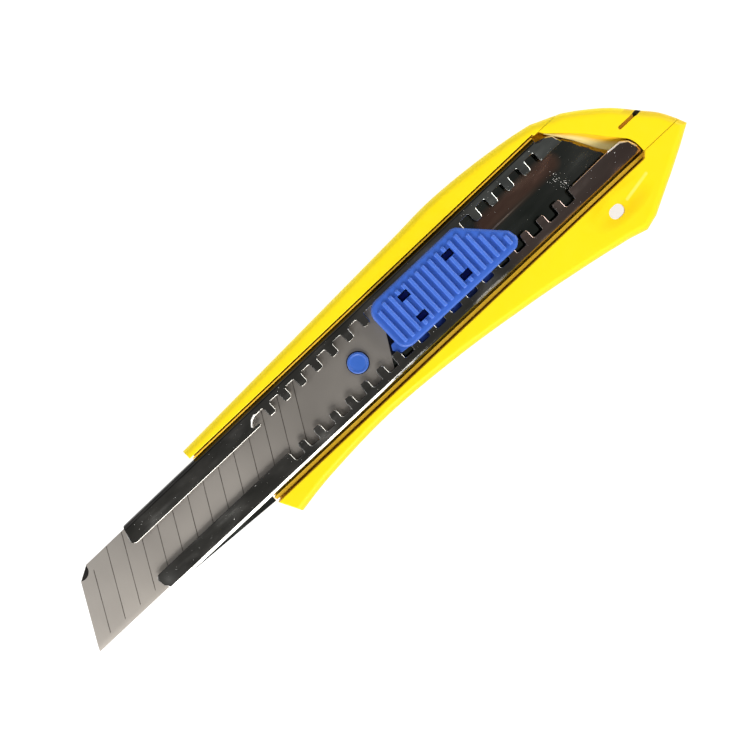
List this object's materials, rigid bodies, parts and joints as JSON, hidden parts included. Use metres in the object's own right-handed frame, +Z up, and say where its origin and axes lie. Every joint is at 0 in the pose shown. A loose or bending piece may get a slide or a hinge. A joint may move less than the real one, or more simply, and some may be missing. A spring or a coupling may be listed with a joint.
{
  "type": "utility knife",
  "caption": "Snap-off utility knife: yellow two-shell handle, folded steel rail with notched lips, scored blade on a blue ribbed slider, and an end cap with a slot that snaps blade segments.",
  "frame": {"origin": "centre of the bounding box's bottom face, on the back shell's underside", "axes": "+X along the knife towards its tail, +Y across it towards the blade's spine, +Z up through the thumb pad"},
  "size_m": [0.191, 0.0406, 0.0162],
  "materials": {
    "yellow_plastic": "satin",
    "blue_plastic": "satin",
    "polished_steel": "polished",
    "ground_steel": "brushed",
    "spring_steel": "satin"
  },
  "bodies": {
    "handle": {"handle_shell": "yellow_plastic", "handle_back": "yellow_plastic", "rail_liner": "yellow_plastic", "rail": "polished_steel"},
    "slider": {"blade": "ground_steel", "blade_carrier": "blue_plastic", "thumb_pad": "blue_plastic"},
    "detent": {"detent_spring": "spring_steel"},
    "cap": {"end_cap": "yellow_plastic"}
  },
  "joints": [
    {"name": "blade_slide", "type": "slide", "parent": "handle", "child": "slider", "axis": [-1, 0, 0], "range_m": [-0.026, 0.052], "deforming": ["detent_spring"]},
    {"name": "detent_press", "type": "slide", "parent": "slider", "child": "detent", "axis": [0, 0, -1], "range_m": [0, 0.0009], "stiffness_N_per_m": 150},
    {"name": "cap_pull", "type": "slide", "parent": "handle", "child": "cap", "axis": [1, 0, 0], "range_m": [0, 0.015]}
  ]
}
